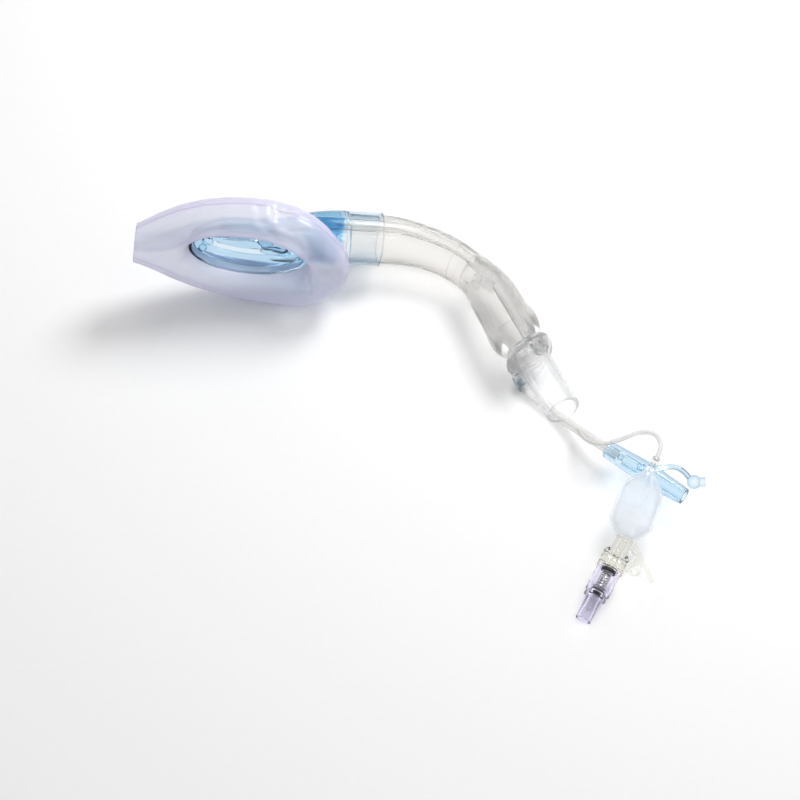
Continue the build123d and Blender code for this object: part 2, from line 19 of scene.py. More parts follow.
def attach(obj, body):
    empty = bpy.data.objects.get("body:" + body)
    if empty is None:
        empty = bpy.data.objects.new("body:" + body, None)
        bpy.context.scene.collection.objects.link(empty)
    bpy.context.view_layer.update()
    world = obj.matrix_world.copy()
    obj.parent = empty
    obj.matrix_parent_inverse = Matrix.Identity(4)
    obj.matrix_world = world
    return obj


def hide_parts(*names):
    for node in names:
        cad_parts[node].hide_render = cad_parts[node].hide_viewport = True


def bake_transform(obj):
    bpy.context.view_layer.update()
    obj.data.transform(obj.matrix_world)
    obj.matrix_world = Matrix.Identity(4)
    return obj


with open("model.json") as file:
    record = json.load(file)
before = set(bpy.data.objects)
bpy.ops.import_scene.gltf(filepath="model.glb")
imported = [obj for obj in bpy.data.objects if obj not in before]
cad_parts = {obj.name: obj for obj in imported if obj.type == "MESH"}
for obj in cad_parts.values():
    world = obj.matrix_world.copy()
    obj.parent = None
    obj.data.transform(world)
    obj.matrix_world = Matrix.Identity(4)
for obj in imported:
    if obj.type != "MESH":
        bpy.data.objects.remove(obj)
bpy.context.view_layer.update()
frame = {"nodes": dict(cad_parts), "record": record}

MM = 0.001

# %% [markdown]
# ## Camera
# The photograph looks down on the table at about 53 degrees with a long lens, so the
# far end of the mask is hardly smaller than the near end of the valve.

# %% Camera
camera_data = bpy.data.cameras.new("camera")
camera_data.lens = 85.5
camera_data.sensor_width = 36.0
camera_data.clip_start = 0.01
camera = bpy.data.objects.new("camera", camera_data)
camera.location = (0.0205, -0.5260, 0.6632)
looks_at = Vector((0.0205, -0.03528, 0.0))
camera.rotation_euler = (looks_at - camera.location).to_track_quat("-Z", "Y").to_euler()
bpy.context.scene.collection.objects.link(camera)
bpy.context.scene.camera = camera
print("camera distance", round((looks_at - camera.location).length, 3))

# %% [markdown]
# ## The two limp lines
# The side tube leaves the end plate beside the connector and ends in the blue drain
# fitting. The thin inflation line branches off it, makes one flat loop and enters the
# ferrule of the pilot balloon. A soft tube lies in one smooth bend after another, which
# a NURBS curve with few control points draws better than arcs and straight runs.

# %% A round tube on a smooth curve
NURBS_ORDER = 3
STEPS_PER_SPAN = 14
TUBE_ROUNDNESS = 7


def limp_tube(name, points, diameter):
    """A round tube along one open NURBS line, as a mesh, and the points of the line."""
    curve = bpy.data.curves.new(name, "CURVE")
    curve.dimensions = "3D"
    spline = curve.splines.new("NURBS")
    spline.points.add(len(points) - 1)
    for point, place in zip(spline.points, points):
        point.co = (*place, 1.0)
    spline.order_u = NURBS_ORDER
    spline.use_endpoint_u = True
    spline.resolution_u = STEPS_PER_SPAN
    route = bpy.data.objects.new(name + "_route", curve)
    bpy.context.scene.collection.objects.link(route)
    graph = bpy.context.evaluated_depsgraph_get()
    bare = bpy.data.meshes.new_from_object(route.evaluated_get(graph))
    line = [tuple(vert.co) for vert in bare.vertices]
    curve.bevel_depth = diameter / 2
    curve.bevel_resolution = TUBE_ROUNDNESS
    curve.use_fill_caps = True
    graph = bpy.context.evaluated_depsgraph_get()
    wall = bpy.data.meshes.new_from_object(route.evaluated_get(graph))
    wall.name = name
    bpy.data.objects.remove(route)
    for poly in wall.polygons:
        poly.use_smooth = True
    tube = bpy.data.objects.new(name, wall)
    bpy.context.scene.collection.objects.link(tube)
    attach(tube, "airway")
    return tube, line


# %% Side tube
SIDE_TUBE = [
    (0.073089, -0.027295, 0.002837),
    (0.075338, -0.032419, 0.003049),
    (0.080500, -0.037500, 0.002400),
    (0.089100, -0.046480, 0.002550),
    (0.095100, -0.053580, 0.004800),
    (0.100500, -0.060380, 0.007700),
    (0.104026, -0.064322, 0.008625),
    (0.112366, -0.071104, 0.008793),
]
SIDE_TUBE_D = 0.0042
side_tube, side_line = limp_tube("side_tube_line", SIDE_TUBE, SIDE_TUBE_D)
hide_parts("side_tube")

# %% Inflation line
INFLATION_LINE = [
    (0.096400, -0.055230, 0.005500),
    (0.097150, -0.062420, 0.010160),
    (0.102330, -0.068790, 0.013460),
    (0.109190, -0.067910, 0.014340),
    (0.115500, -0.065680, 0.015000),
    (0.120420, -0.063600, 0.015660),
    (0.126920, -0.065020, 0.017350),
    (0.129240, -0.071430, 0.018150),
    (0.127548, -0.076525, 0.017811),
    (0.126033, -0.079281, 0.017652),
]
INFLATION_LINE_D = 0.0019
inflation_line, loop_line = limp_tube("inflation_line_loop", INFLATION_LINE, INFLATION_LINE_D)
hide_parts("inflation_line")

# %% Bores of the two lines
SIDE_BORE_D = 0.0019
LINE_BORE_D = 0.0008
side_bore, _ = limp_tube("side_tube_bore", SIDE_TUBE, SIDE_BORE_D)
line_bore, _ = limp_tube("inflation_line_bore", INFLATION_LINE, LINE_BORE_D)
print("points on the lines", len(side_line), len(loop_line))

# %% [markdown]
# ## Places on the mask
# The mask and tube share a plane of symmetry that leans a little, because the airway
# lies on the side of the cuff. Shapes on the mask are easier in its own directions: u
# towards the heel, v towards the back and w to the upper side, all in millimetres.


# %% Mask directions
def own_frame(origin, x, y, z):
    """Matrix from millimetres along three directions to metres in the row frame."""
    turn = Matrix((x, y, z)).transposed() * MM
    return Matrix.Translation(origin) @ turn.to_4x4()


leaning_w = Vector((0.1595, 0.1106, 0.9810)).normalized()
leaning_u = Vector((0.9872, -0.0179, -0.1585))
leaning_u = (leaning_u - leaning_u.dot(leaning_w) * leaning_w).normalized()
leaning_v = leaning_w.cross(leaning_u)
MASK_ORIGIN = Vector((-0.04790, 0.02542, 0.0289))
mask_to_row = own_frame(MASK_ORIGIN, leaning_u, leaning_v, leaning_w)
BOWL_MIDDLE_U = 1.5
print("bowl's middle", [round(x, 4) for x in mask_to_row @ Vector((BOWL_MIDDLE_U, 0, 0))])


# %% Helpers for tables and finished objects
def between(table, x):
    """Row of a table at x, by straight lines between its rows."""
    if x <= table[0][0]:
        return table[0][1:]
    for low, high in zip(table, table[1:]):
        if x <= high[0]:
            t = (x - low[0]) / (high[0] - low[0])
            return tuple(a + t * (b - a) for a, b in zip(low[1:], high[1:]))
    return table[-1][1:]


def bump(x, width):
    """A smooth hill of height 1 at x = 0."""
    return exp(-((x / width) ** 2))


def soft(t):
    """A smooth step from 0 to 1."""
    t = min(max(t, 0.0), 1.0)
    return t * t * (3 - 2 * t)


def edges_within(bm, verts):
    """Edges with both ends among these points."""
    verts = set(verts)
    return [e for e in bm.edges if e.verts[0] in verts and e.verts[1] in verts]


def to_object(bm, name):
    """The bmesh as a smooth object in the scene, with its normals outward."""
    bmesh.ops.recalc_face_normals(bm, faces=bm.faces)
    for face in bm.faces:
        face.smooth = True
    mesh = bpy.data.meshes.new(name)
    bm.to_mesh(mesh)
    bm.free()
    piece = bpy.data.objects.new(name, mesh)
    bpy.context.scene.collection.objects.link(piece)
    return piece


def keep_mesh(bm, name, place):
    """The bmesh as an object that rides on the airway, moved into the row frame."""
    bmesh.ops.transform(bm, matrix=place, verts=bm.verts)
    piece = to_object(bm, name)
    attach(piece, "airway")
    return piece


def smoothed(bm, level):
    """A new bmesh with the subdivision surface of this one."""
    mesh = bpy.data.meshes.new("cage")
    bm.to_mesh(mesh)
    bm.free()
    cage = bpy.data.objects.new("cage", mesh)
    bpy.context.scene.collection.objects.link(cage)
    rounding = cage.modifiers.new("rounding", "SUBSURF")
    rounding.levels = level
    rounding.render_levels = level
    graph = bpy.context.evaluated_depsgraph_get()
    fine = bpy.data.meshes.new_from_object(cage.evaluated_get(graph))
    bpy.data.objects.remove(cage)
    bpy.data.meshes.remove(mesh)
    result = bmesh.new()
    result.from_mesh(fine)
    bpy.data.meshes.remove(fine)
    return result


# %% [markdown]
# ## The cuff
# The cuff is a ring blown from thin frosted film, fat at the heel and flattened at the
# tip, where it is cut off square for the drain. Its two halves are welded along the
# widest line. It could be one swept circle, but the real ring changes its width all the
# way round, so each section is its own circle, stretched from the inner edge to the
# outer edge and filled out a little towards a square, and the sections are bridged.

# %% Sections of the cuff
# u, middle of the film in v, half its depth
CUFF_DEPTH = [
    (-48.0, -3.4, 8.6),
    (-44.0, -2.2, 8.9),
    (-38.0, -0.7, 9.2),
    (-30.0, 0.4, 9.5),
    (-20.0, 0.95, 9.7),
    (0.0, 0.95, 10.1),
    (10.0, 0.6, 10.3),
    (20.0, -0.8, 10.6),
    (28.0, -2.6, 10.8),
    (36.0, -3.6, 10.6),
    (40.0, -3.9, 10.0),
]
# u, middle in v, half the width and half the depth of the CAD model's outside
CUFF_OUTSIDE = [
    (-48.0, -3.4, 8.5, 8.5),
    (-44.0, -2.2, 10.8, 8.8),
    (-38.0, -0.7, 14.4, 9.1),
    (-30.0, 0.4, 18.9, 9.4),
    (-20.0, 0.95, 23.0, 9.6),
    (-10.0, 1.1, 25.6, 9.8),
    (0.0, 0.95, 26.9, 10.0),
    (10.0, 0.6, 27.2, 10.2),
    (20.0, -0.8, 26.2, 10.5),
    (28.0, -2.6, 23.7, 10.7),
    (34.0, -3.4, 19.6, 10.5),
    (39.0, -3.9, 14.6, 9.7),
    (42.5, -4.1, 10.6, 8.4),
    (46.0, -4.2, 7.0, 6.4),
]
# Inner and outer edge (u, w) of each section, from the heel round one side to the tip
CUFF_SIDE = [
    ((27.9, 0.0), (46.4, 0.0)),
    ((27.5, 3.2), (45.2, 6.8)),
    ((25.6, 6.0), (41.4, 13.2)),
    ((21.8, 8.6), (35.0, 19.8)),
    ((16.0, 10.8), (26.0, 24.9)),
    ((9.0, 11.6), (13.5, 27.2)),
    ((1.5, 11.9), (1.5, 27.2)),
    ((-6.5, 11.5), (-10.5, 25.8)),
    ((-13.5, 10.6), (-22.0, 22.6)),
    ((-19.0, 8.0), (-31.5, 18.4)),
    ((-22.8, 5.2), (-39.5, 13.9)),
    ((-24.2, 3.2), (-48.5, 9.3)),
    ((-24.9, 1.4), (-58.0, 6.5)),
]
cuff_ring = CUFF_SIDE + [((-25.0, 0.0), (-61.0, 0.0))]
cuff_ring += [((a, -b), (c, -d)) for (a, b), (c, d) in reversed(CUFF_SIDE[1:])]
print("cuff sections", len(cuff_ring))

# %% Bridge the sections into a ring
CUFF_AROUND = 24
FULLNESS = 2.8
cuff_bm = bmesh.new()
loops = []
for inner, outer in cuff_ring:
    inner_point = Vector((inner[0], 0, inner[1]))
    outer_point = Vector((outer[0], 0, outer[1]))
    middle = (inner_point + outer_point) / 2
    v, half_depth = between(CUFF_DEPTH, middle.x)
    outwards = outer_point - middle
    square = outwards.normalized().cross(Vector((0, 1, 0)))
    centre = Vector((middle.x, v, middle.z))
    place = Matrix(
        (
            (outwards.x, 0, square.x, centre.x),
            (0, half_depth, 0, centre.y),
            (outwards.z, 0, square.z, centre.z),
            (0, 0, 0, 1),
        )
    )
    made = bmesh.ops.create_circle(cuff_bm, segments=CUFF_AROUND, radius=1.0, matrix=place)
    for vert in made["verts"]:
        off = vert.co - centre
        across = abs(off.dot(outwards.normalized())) / outwards.length
        deep = abs(off.y) / half_depth
        full = (across**FULLNESS + deep**FULLNESS) ** (-1 / FULLNESS)
        vert.co = centre + off * full
    loops.append(edges_within(cuff_bm, made["verts"]))
for first, second in zip(loops, loops[1:] + loops[:1]):
    bmesh.ops.bridge_loops(cuff_bm, edges=first + second)
bmesh.ops.recalc_face_normals(cuff_bm, faces=cuff_bm.faces)
cuff_bm = smoothed(cuff_bm, 3)
# Nothing stands out past the CAD model, whose section is a circle drawn out in width
for vert in cuff_bm.verts:
    v, half_width, half_depth = between(CUFF_OUTSIDE, vert.co.x)
    flat_part = max(half_width - half_depth, 0.0)
    beyond = max(abs(vert.co.z) - flat_part, 0.0)
    reach = (beyond**2 + (vert.co.y - v) ** 2) ** 0.5
    if reach > half_depth:
        pull = half_depth / reach
        vert.co.y = v + (vert.co.y - v) * pull
        side = 1 if vert.co.z > 0 else -1
        vert.co.z = side * (min(abs(vert.co.z), flat_part) + beyond * pull)
bmesh.ops.smooth_vert(
    cuff_bm,
    verts=cuff_bm.verts,
    factor=0.5,
    use_axis_x=True,
    use_axis_y=True,
    use_axis_z=True,
)
print("cuff faces", len(cuff_bm.faces))

# %% [markdown]
# The film is not an even ring. It has a raised weld, a dent in the upper side where it
# was folded in its packing, creases at the end of the opening, and soft waves. Every
# point moves along its own normal, by the sum of these marks.


# %% Marks in the film
def from_line(point, a, b):
    """Distance of a point from a straight crease."""
    t = min(max((point - a).dot(b - a) / (b - a).length_squared, 0.0), 1.0)
    return (point - a - t * (b - a)).length


# From, to, width and height of each crease, negative where it is pressed in
CREASES = [
    ((3.2, -1.5, 27.2), (5.3, -6.8, 24.2), 1.5, -0.35),
    ((5.3, -6.8, 24.2), (8.0, -8.8, 21.6), 1.5, -0.45),
    ((8.0, -8.8, 21.6), (12.5, -9.6, 19.0), 1.5, -0.30),
    ((10.6, 7.0, 24.6), (10.5, 1.5, 26.9), 1.3, -0.45),
    ((10.5, 1.5, 26.9), (11.0, -5.0, 25.5), 1.3, -0.45),
    ((28.6, -5.5, -1.6), (30.4, -9.1, -1.9), 1.2, -0.45),
    ((30.4, -9.1, -1.9), (31.0, -12.4, -7.0), 1.2, -0.60),
    ((31.0, -12.4, -7.0), (27.3, -10.9, -9.2), 1.2, -0.50),
    ((27.5, -4.5, 4.5), (35.5, -13.9, 3.9), 2.0, 0.55),
    ((25.0, -11.0, -12.0), (20.0, -10.5, -15.5), 1.8, 0.30),
]
WAVE_HEIGHT = 0.10
WAVE_LENGTHS = (11, 8, 11)
WELD_HEIGHT = 0.34
WELD_WIDTH = 0.36
WELD_LOW = 0.4
DENT_DEPTH = 2.0
DENT_AT = (13.5, -2.5)
DENT_SIZE = (4.6, 6.0)
film_tree = BVHTree.FromBMesh(cuff_bm)
creases = [
    (film_tree.find_nearest(a)[0], film_tree.find_nearest(b)[0], width, height)
    for a, b, width, height in CREASES
]
print("creases", len(creases))


def weld_at(p, normal):
    """1 on the outer weld of the two halves of the film, falling to 0 beside it."""
    v, _ = between(CUFF_DEPTH, p.x)
    away = Vector((p.x - BOWL_MIDDLE_U, 0, p.z)).normalized().dot(normal)
    return bump(p.y - v + WELD_LOW, WELD_WIDTH) * soft((away - 0.2) / 0.4)


def film_mark(p, normal):
    """How far the film stands out at a place on the mask.

    The dent is on the upper side only, and a crease has a low swelling on both sides.
    """
    place = Vector([x / length for x, length in zip(p, WAVE_LENGTHS)])
    out = WAVE_HEIGHT * noise.noise(place + Vector((3.1, 0, 0)))
    out += WELD_HEIGHT * weld_at(p, normal)
    if p.z > 12:
        dent = bump(p.x - DENT_AT[0], DENT_SIZE[0]) * bump(p.y - DENT_AT[1], DENT_SIZE[1])
        out -= DENT_DEPTH * dent * soft((p.z - 15) / 6)
    for a, b, width, height in creases:
        distance = from_line(p, a, b)
        if distance < 3.5 * width:
            out += height * bump(distance, width)
            out -= 0.4 * height * bump(distance - 2.1 * width, width)
    return out


cuff_bm.normal_update()
weld_layer = cuff_bm.verts.layers.float.new("weld")
moves = [vert.normal * film_mark(vert.co, vert.normal) for vert in cuff_bm.verts]
for vert, move in zip(cuff_bm.verts, moves):
    vert[weld_layer] = weld_at(vert.co, vert.normal)
    vert.co += move
print("largest mark mm", round(max(m.length for m in moves), 2))

# %% Cut the tip square and leave the mouth of the drain open
TIP_U = -48.0
TIP_MOUTH_V = -3.85
TIP_MOUTH_RADIUS = 4.04
TIP_STEPS = ((0.55, 0.0), (0.5, 0.12), (0.6, 0.0))
cut = bmesh.ops.bisect_plane(
    cuff_bm,
    geom=cuff_bm.verts[:] + cuff_bm.edges[:] + cuff_bm.faces[:],
    plane_co=(TIP_U, 0, 0),
    plane_no=(-1, 0, 0),
    clear_outer=True,
)
rim = [e for e in cut["geom_cut"] if isinstance(e, bmesh.types.BMEdge)]
tip_face = bmesh.ops.contextual_create(cuff_bm, geom=rim)["faces"]
for width, depth in TIP_STEPS:
    bmesh.ops.inset_region(cuff_bm, faces=tip_face, thickness=width, depth=depth)
for vert in {vert for face in tip_face for vert in face.verts}:
    from_mouth = Vector((0, vert.co.y - TIP_MOUTH_V, vert.co.z)).normalized()
    from_mouth *= TIP_MOUTH_RADIUS
    vert.co = Vector((vert.co.x, TIP_MOUTH_V + from_mouth.y, from_mouth.z))
bmesh.ops.delete(cuff_bm, geom=tip_face, context="FACES")
cuff_film = keep_mesh(cuff_bm, "cuff_film", mask_to_row)
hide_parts("cuff")
print("cuff film faces", len(cuff_film.data.polygons))

# %% [markdown]
# ## The pilot balloon
# Two films are welded round their edge and blown up a little, so the pillow is fattest
# in the middle and wrinkles where the film is pulled in. A grid is drawn into the
# outline and doubled, and each point is raised, or in the lower film let down, by its
# distance from the weld. The two films are joined round their edge.

# %% Balloon directions
balloon_from = Vector((0.12365, -0.08348, 0.0174))
balloon_to = Vector((0.11182, -0.11274, 0.0097))
balloon_x = (balloon_to - balloon_from).normalized()
balloon_y = Vector((0, 0, 1)).cross(balloon_x).normalized()
balloon_z = balloon_x.cross(balloon_y)
balloon_to_row = own_frame(balloon_from, balloon_x, balloon_y, balloon_z)
BALLOON_LENGTH = 32.4
# Place along the balloon and half the width of its outline
BALLOON_HALF_WIDTH = [
    (0.0, 1.9),
    (9.0, 8.4),
    (10.6, 8.9),
    (25.2, 9.1),
    (26.6, 8.4),
    (31.6, 4.5),
    (32.4, 3.9),
]
print("balloon ends apart mm", round((balloon_to - balloon_from).length / MM, 1))


# %% Blow up the balloon
FILM_HALF = 0.16
WELD_BAND = 1.1
BALLOON_RISE = 2.75
WRINKLE_HEIGHT = 0.16
FOLD_DEPTH = 0.55
UNDERSIDE = 0.9


def pillow(x, y, half_width):
    """Height of the film over the weld, with one long fold and slack wrinkles."""
    from_side = half_width - abs(y)
    from_end = min(x + 0.6, 33.0 - x)
    inside = min(from_side - WELD_BAND, from_end - 1.2)
    if inside <= 0:
        return FILM_HALF
    rise = BALLOON_RISE * (1 - exp(-inside / 1.9))
    wrinkle = WRINKLE_HEIGHT * noise.noise(Vector((x / 3.0, y / 7.5, 1.7)))
    fold = FOLD_DEPTH * bump(y - 0.9 - 0.06 * x, 0.8) * soft(x / 7) * soft((24 - x) / 9)
    return FILM_HALF + rise + (wrinkle - fold) * soft(inside / 2.5)


balloon_bm = bmesh.new()
bmesh.ops.create_grid(balloon_bm, x_segments=96, y_segments=56, size=1.0)
for vert in balloon_bm.verts:
    x = (vert.co.x + 1) / 2 * BALLOON_LENGTH
    (half_width,) = between(BALLOON_HALF_WIDTH, x)
    vert.co = Vector((x, vert.co.y * half_width, 0))
half = balloon_bm.verts[:] + balloon_bm.edges[:] + balloon_bm.faces[:]
lower = bmesh.ops.duplicate(balloon_bm, geom=half)["geom"]
lower_verts = {g for g in lower if isinstance(g, bmesh.types.BMVert)}
lower_faces = [g for g in lower if isinstance(g, bmesh.types.BMFace)]
bmesh.ops.reverse_faces(balloon_bm, faces=lower_faces)
for vert in balloon_bm.verts:
    (half_width,) = between(BALLOON_HALF_WIDTH, vert.co.x)
    vert.co.z = pillow(vert.co.x, vert.co.y, half_width)
    if vert in lower_verts:
        vert.co.z = -UNDERSIDE * vert.co.z
open_edges = [e for e in balloon_bm.edges if e.is_boundary]
bmesh.ops.bridge_loops(balloon_bm, edges=open_edges)
balloon_film = keep_mesh(balloon_bm, "pilot_balloon_film", balloon_to_row)
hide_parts("pilot_balloon")
print("balloon faces", len(balloon_film.data.polygons))

# %% [markdown]
# ## The return spring
# A syringe pushes the plunger in and the spring gives way, so it can't stay as long as
# it is at rest. Its wire is a small circle spun round the valve's axis and moved on with
# every step, between one flat turn at each end. Both ends stay at fixed places on the
# valve's axis.

# %% Wind the spring
VALVE_START = Vector((0.11182, -0.11274, 0.0097))
VALVE_AXIS = Vector((-0.47469, -0.86492, -0.16302)).normalized()
SPRING_NEAR = 16.6
SPRING_FAR = 23.6
SPRING_RADIUS = 2.0
SPRING_WIRE = 0.27
SPRING_TURNS = 6
TURN_STEPS = 28
STAY = Vector((0, 0, 0))
spring_bm = bmesh.new()
spring_side = VALVE_AXIS.cross(Vector((0, 0, 1))).normalized()
spring_near = VALVE_START + VALVE_AXIS * SPRING_NEAR * MM
spring_far = VALVE_START + VALVE_AXIS * SPRING_FAR * MM
wire_turn = VALVE_AXIS.cross(spring_side).to_track_quat("Z", "Y").to_matrix().to_4x4()
wire_place = Matrix.Translation(spring_near + spring_side * SPRING_RADIUS * MM) @ wire_turn
bmesh.ops.create_circle(spring_bm, segments=10, radius=SPRING_WIRE * MM, matrix=wire_place)
wire_end = spring_bm.verts[:] + spring_bm.edges[:]
advance = (spring_far - spring_near) / (SPRING_TURNS * TURN_STEPS)
for turns, step in ((1, STAY), (SPRING_TURNS, advance), (1, STAY)):
    wire_end = bmesh.ops.spin(
        spring_bm,
        geom=wire_end,
        cent=spring_near,
        axis=VALVE_AXIS,
        dvec=step,
        angle=2 * pi * turns,
        steps=turns * TURN_STEPS,
    )["geom_last"]
open_ends = [e for e in spring_bm.edges if e.is_boundary]
bmesh.ops.holes_fill(spring_bm, edges=open_ends, sides=0)
return_spring = to_object(spring_bm, "return_spring")
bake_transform(return_spring)
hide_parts("valve_spring")
print("spring faces", len(return_spring.data.polygons))

# %% [markdown]
# ## Inside the bowl and along the neck
# The clear backplate has stepped ledges round the bowl, the drain's long sheath on its
# floor and a small knob at the far end. A wavy bead of glue closes the neck, and the
# socket ends in a thin lip. Beads are a small circle spun round and then stretched to the
# neck's oval. The ledges are ovals, each smaller and deeper, bridged and given a wall.


# %% A bead round the neck
BEAD_UNIT = 0.08


def bead(name, centre, turn, half_depth, half_width, thick, wobble):
    """An oval ring of round section, square to the neck and turned in degrees."""
    bm = bmesh.new()
    stand = Matrix.Translation((1.0, 0, 0)) @ Matrix.Rotation(pi / 2, 4, "X")
    bmesh.ops.create_circle(bm, segments=8, radius=BEAD_UNIT, matrix=stand)
    bmesh.ops.spin(
        bm,
        geom=bm.verts[:] + bm.edges[:],
        cent=(0, 0, 0),
        axis=(0, 0, 1),
        angle=2 * pi,
        steps=120,
        use_merge=True,
    )
    bmesh.ops.remove_doubles(bm, verts=bm.verts, dist=1e-5)
    along = Vector((cos(radians(turn)), sin(radians(turn)), 0))
    up = Vector((-along.y, along.x, 0))
    for vert in bm.verts:
        around = Vector((vert.co.x, vert.co.y, 0)).normalized()
        rise = (vert.co - around).dot(around) / BEAD_UNIT * thick
        rise += wobble * noise.noise(around * 7.0 + Vector((0, 0, thick)))
        slide = vert.co.z / BEAD_UNIT * thick + wobble * noise.noise(around * 9.0)
        place = up * (around.x * (half_depth + rise)) + along * slide
        place.z = around.y * (half_width + rise)
        vert.co = Vector(centre) + place
    return keep_mesh(bm, name, mask_to_row)


# Name, centre, turn, half depth, half width, thickness and wobble
joint_pieces = [
    bead("glue_bead", (43.0, 15.75, 0), 7.0, 11.55, 12.75, 0.22, 0.30),
    bead("socket_lip", (59.9, 17.7, 0), 5.0, 11.15, 12.3, 0.28, 0.05),
    bead("insert_lip", (94.9, 9.0, 0), -36.6, 7.35, 10.35, 0.16, 0.03),
]

# %% Ledges of the bowl
LEDGE_WALL = 0.35
# Half length, half width and depth of each step of the ledges
LEDGES = [
    (24.6, 10.9, 2.2),
    (23.8, 10.2, 2.6),
    (23.6, 10.0, 4.2),
    (22.6, 9.2, 4.8),
    (22.3, 8.9, 6.2),
    (21.0, 8.0, 6.9),
]
ledge_bm = bmesh.new()
ledge_loops = []
for half_length, half_width, depth in LEDGES:
    made = bmesh.ops.create_circle(ledge_bm, segments=96, radius=1.0)
    for vert in made["verts"]:
        ripple = 0.22 * noise.noise(Vector((vert.co.x * 6, vert.co.y * 3, depth)))
        u = BOWL_MIDDLE_U + half_length * vert.co.x
        vert.co = Vector((u, depth + ripple, half_width * vert.co.y))
    ledge_loops.append(edges_within(ledge_bm, made["verts"]))
for first, second in zip(ledge_loops, ledge_loops[1:]):
    bmesh.ops.bridge_loops(ledge_bm, edges=first + second)
bmesh.ops.solidify(ledge_bm, geom=ledge_bm.faces[:], thickness=LEDGE_WALL)
ledges = keep_mesh(ledge_bm, "bowl_ledges", mask_to_row)


# %% Sheath and knob
def dome(name, centre, size, ripple):
    """A rounded swelling, half sunk in the wall."""
    bm = bmesh.new()
    bmesh.ops.create_uvsphere(bm, u_segments=48, v_segments=24, radius=1.0)
    for vert in bm.verts:
        wave = 1 + ripple * noise.noise(vert.co * 2.3 + Vector((size[0], 0, 0)))
        vert.co = Vector([x * half for x, half in zip(vert.co, size)]) * wave
    bmesh.ops.translate(bm, vec=centre, verts=bm.verts)
    return keep_mesh(bm, name, mask_to_row)


bowl_pieces = [
    ledges,
    dome("drain_sheath", (-1.0, 9.3, -3.6), (13.5, 1.7, 3.4), 0.10),
    dome("bowl_knob", (-18.6, 4.6, -5.4), (1.9, 1.9, 1.5), 0.05),
    dome("bowl_stud", (-16.6, 5.8, -2.6), (2.6, 1.4, 2.2), 0.10),
    dome("outlet_lip", (13.5, 6.4, -4.6), (6.5, 1.1, 2.2), 0.18),
]
print("bowl pieces", len(bowl_pieces), "joint pieces", len(joint_pieces))

# %% [markdown]
# ## Finishes
# Clear plastic is seen by its edges: where the eye looks along a wall it crosses more
# material, so the tint is deeper there. That is the same for every part, so it is one
# node group that mixes a face colour and an edge colour and adds the faint haze and
# the fine grain of a mould. Each material keeps its own shader and its own numbers.
# On the black rubber and the steel the edge colour is lighter instead, a painted sheen.

# %% Shared effect: moulded plastic
GRAIN_FINER = 9.0
GRAIN_ROUGHNESS = 0.10
plastic_group = bpy.data.node_groups.new("moulded plastic", "ShaderNodeTree")
for name, kind in (
    ("Vector", "NodeSocketVector"),
    ("Facing", "NodeSocketFloat"),
    ("Face colour", "NodeSocketColor"),
    ("Edge colour", "NodeSocketColor"),
    ("Face alpha", "NodeSocketFloat"),
    ("Edge alpha", "NodeSocketFloat"),
    ("Haze", "NodeSocketFloat"),
    ("Roughness", "NodeSocketFloat"),
    ("Scale", "NodeSocketFloat"),
):
    plastic_group.interface.new_socket(name=name, in_out="INPUT", socket_type=kind)
for name, kind in (
    ("Color", "NodeSocketColor"),
    ("Alpha", "NodeSocketFloat"),
    ("Roughness", "NodeSocketFloat"),
    ("Height", "NodeSocketFloat"),
):
    plastic_group.interface.new_socket(name=name, in_out="OUTPUT", socket_type=kind)


def add(tree, kind, **values):
    """A node with some of its settings."""
    node = tree.nodes.new(kind)
    for key, value in values.items():
        setattr(node, key, value)
    return node


group_in = add(plastic_group, "NodeGroupInput")
group_out = add(plastic_group, "NodeGroupOutput")
haze = add(plastic_group, "ShaderNodeTexNoise")
haze.inputs["Detail"].default_value = 3.0
grain = add(plastic_group, "ShaderNodeTexNoise")
grain.inputs["Detail"].default_value = 5.0
grain_scale = add(plastic_group, "ShaderNodeMath", operation="MULTIPLY")
grain_scale.inputs[1].default_value = GRAIN_FINER
centred = add(plastic_group, "ShaderNodeMath", operation="SUBTRACT")
centred.inputs[1].default_value = 0.5
haze_step = add(plastic_group, "ShaderNodeMath", operation="MULTIPLY")
edge_fac = add(plastic_group, "ShaderNodeMath", operation="ADD", use_clamp=True)
tint = add(plastic_group, "ShaderNodeMix", data_type="RGBA")
alpha_mix = add(plastic_group, "ShaderNodeMix", data_type="FLOAT")
rough_step = add(plastic_group, "ShaderNodeMath", operation="MULTIPLY_ADD")
rough_step.inputs[1].default_value = GRAIN_ROUGHNESS
for source, target in (
    (group_in.outputs["Vector"], haze.inputs["Vector"]),
    (group_in.outputs["Scale"], haze.inputs["Scale"]),
    (group_in.outputs["Vector"], grain.inputs["Vector"]),
    (group_in.outputs["Scale"], grain_scale.inputs[0]),
    (grain_scale.outputs[0], grain.inputs["Scale"]),
    (haze.outputs["Fac"], centred.inputs[0]),
    (centred.outputs[0], haze_step.inputs[0]),
    (group_in.outputs["Haze"], haze_step.inputs[1]),
    (haze_step.outputs[0], edge_fac.inputs[0]),
    (group_in.outputs["Facing"], edge_fac.inputs[1]),
    (edge_fac.outputs[0], tint.inputs["Factor"]),
    (group_in.outputs["Face colour"], tint.inputs[6]),
    (group_in.outputs["Edge colour"], tint.inputs[7]),
    (edge_fac.outputs[0], alpha_mix.inputs[0]),
    (group_in.outputs["Face alpha"], alpha_mix.inputs[2]),
    (group_in.outputs["Edge alpha"], alpha_mix.inputs[3]),
    (grain.outputs["Fac"], rough_step.inputs[0]),
    (group_in.outputs["Roughness"], rough_step.inputs[2]),
    (tint.outputs[2], group_out.inputs["Color"]),
    (alpha_mix.outputs[0], group_out.inputs["Alpha"]),
    (rough_step.outputs[0], group_out.inputs["Roughness"]),
    (grain.outputs["Fac"], group_out.inputs["Height"]),
):
    plastic_group.links.new(source, target)
print("group sockets", len(plastic_group.interface.items_tree))


# %% A material from the shared effect
COAT_ROUGHNESS = 0.12
GRAIN_HEIGHT = 0.0002


